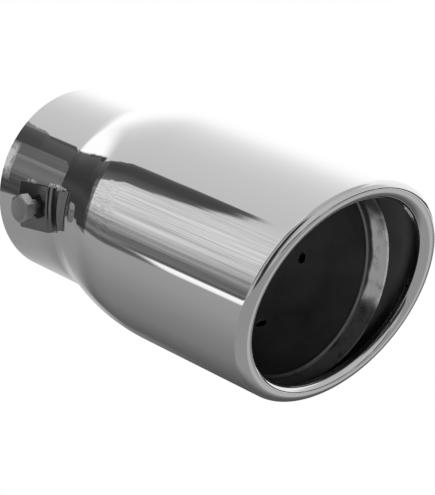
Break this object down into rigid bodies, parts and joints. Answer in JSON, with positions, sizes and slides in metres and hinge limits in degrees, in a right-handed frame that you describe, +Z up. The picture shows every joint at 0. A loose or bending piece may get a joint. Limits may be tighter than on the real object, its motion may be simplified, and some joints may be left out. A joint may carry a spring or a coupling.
{
  "type": "exhaust tip",
  "caption": "Slip-on polished steel exhaust tip with a slanted rolled mouth, a perforated inner sleeve and screw clamps on its neck.",
  "frame": {"origin": "centre of the neck's rear end, on the tip's axis", "axes": "+X along the tip from the neck to the mouth, +Z up through the long side of the slanted mouth, -Y towards the left clamp, the one that the picture shows"},
  "size_m": [0.134, 0.0774, 0.0722],
  "materials": {
    "polished_shell": "mirror-polished stainless steel with fine wiping scratches",
    "sleeve_steel": "dull stainless steel, darkened inside the tip",
    "bracket_steel": "polished stainless steel with bright tack welds at the corners",
    "nut_zinc": "plain zinc-plated steel",
    "screw_zinc": "zinc-plated steel, slightly mottled on the head's face"
  },
  "bodies": {
    "tip": {"outer_shell": "polished_shell", "inner_sleeve": "sleeve_steel", "clamp_bracket_left": "bracket_steel", "clamp_bracket_right": "bracket_steel", "clamp_nut_left": "nut_zinc", "clamp_nut_right": "nut_zinc"},
    "screw_left": {"clamp_screw_left": "screw_zinc"},
    "screw_right": {"clamp_screw_right": "screw_zinc"}
  },
  "joints": [
    {"name": "screw_left_travel", "type": "slide", "parent": "tip", "child": "screw_left", "axis": [0, 1, 0], "range_m": [-0.002, 0.0017]},
    {"name": "screw_right_travel", "type": "slide", "parent": "tip", "child": "screw_right", "axis": [0, -1, 0], "range_m": [-0.002, 0.0017]}
  ]
}
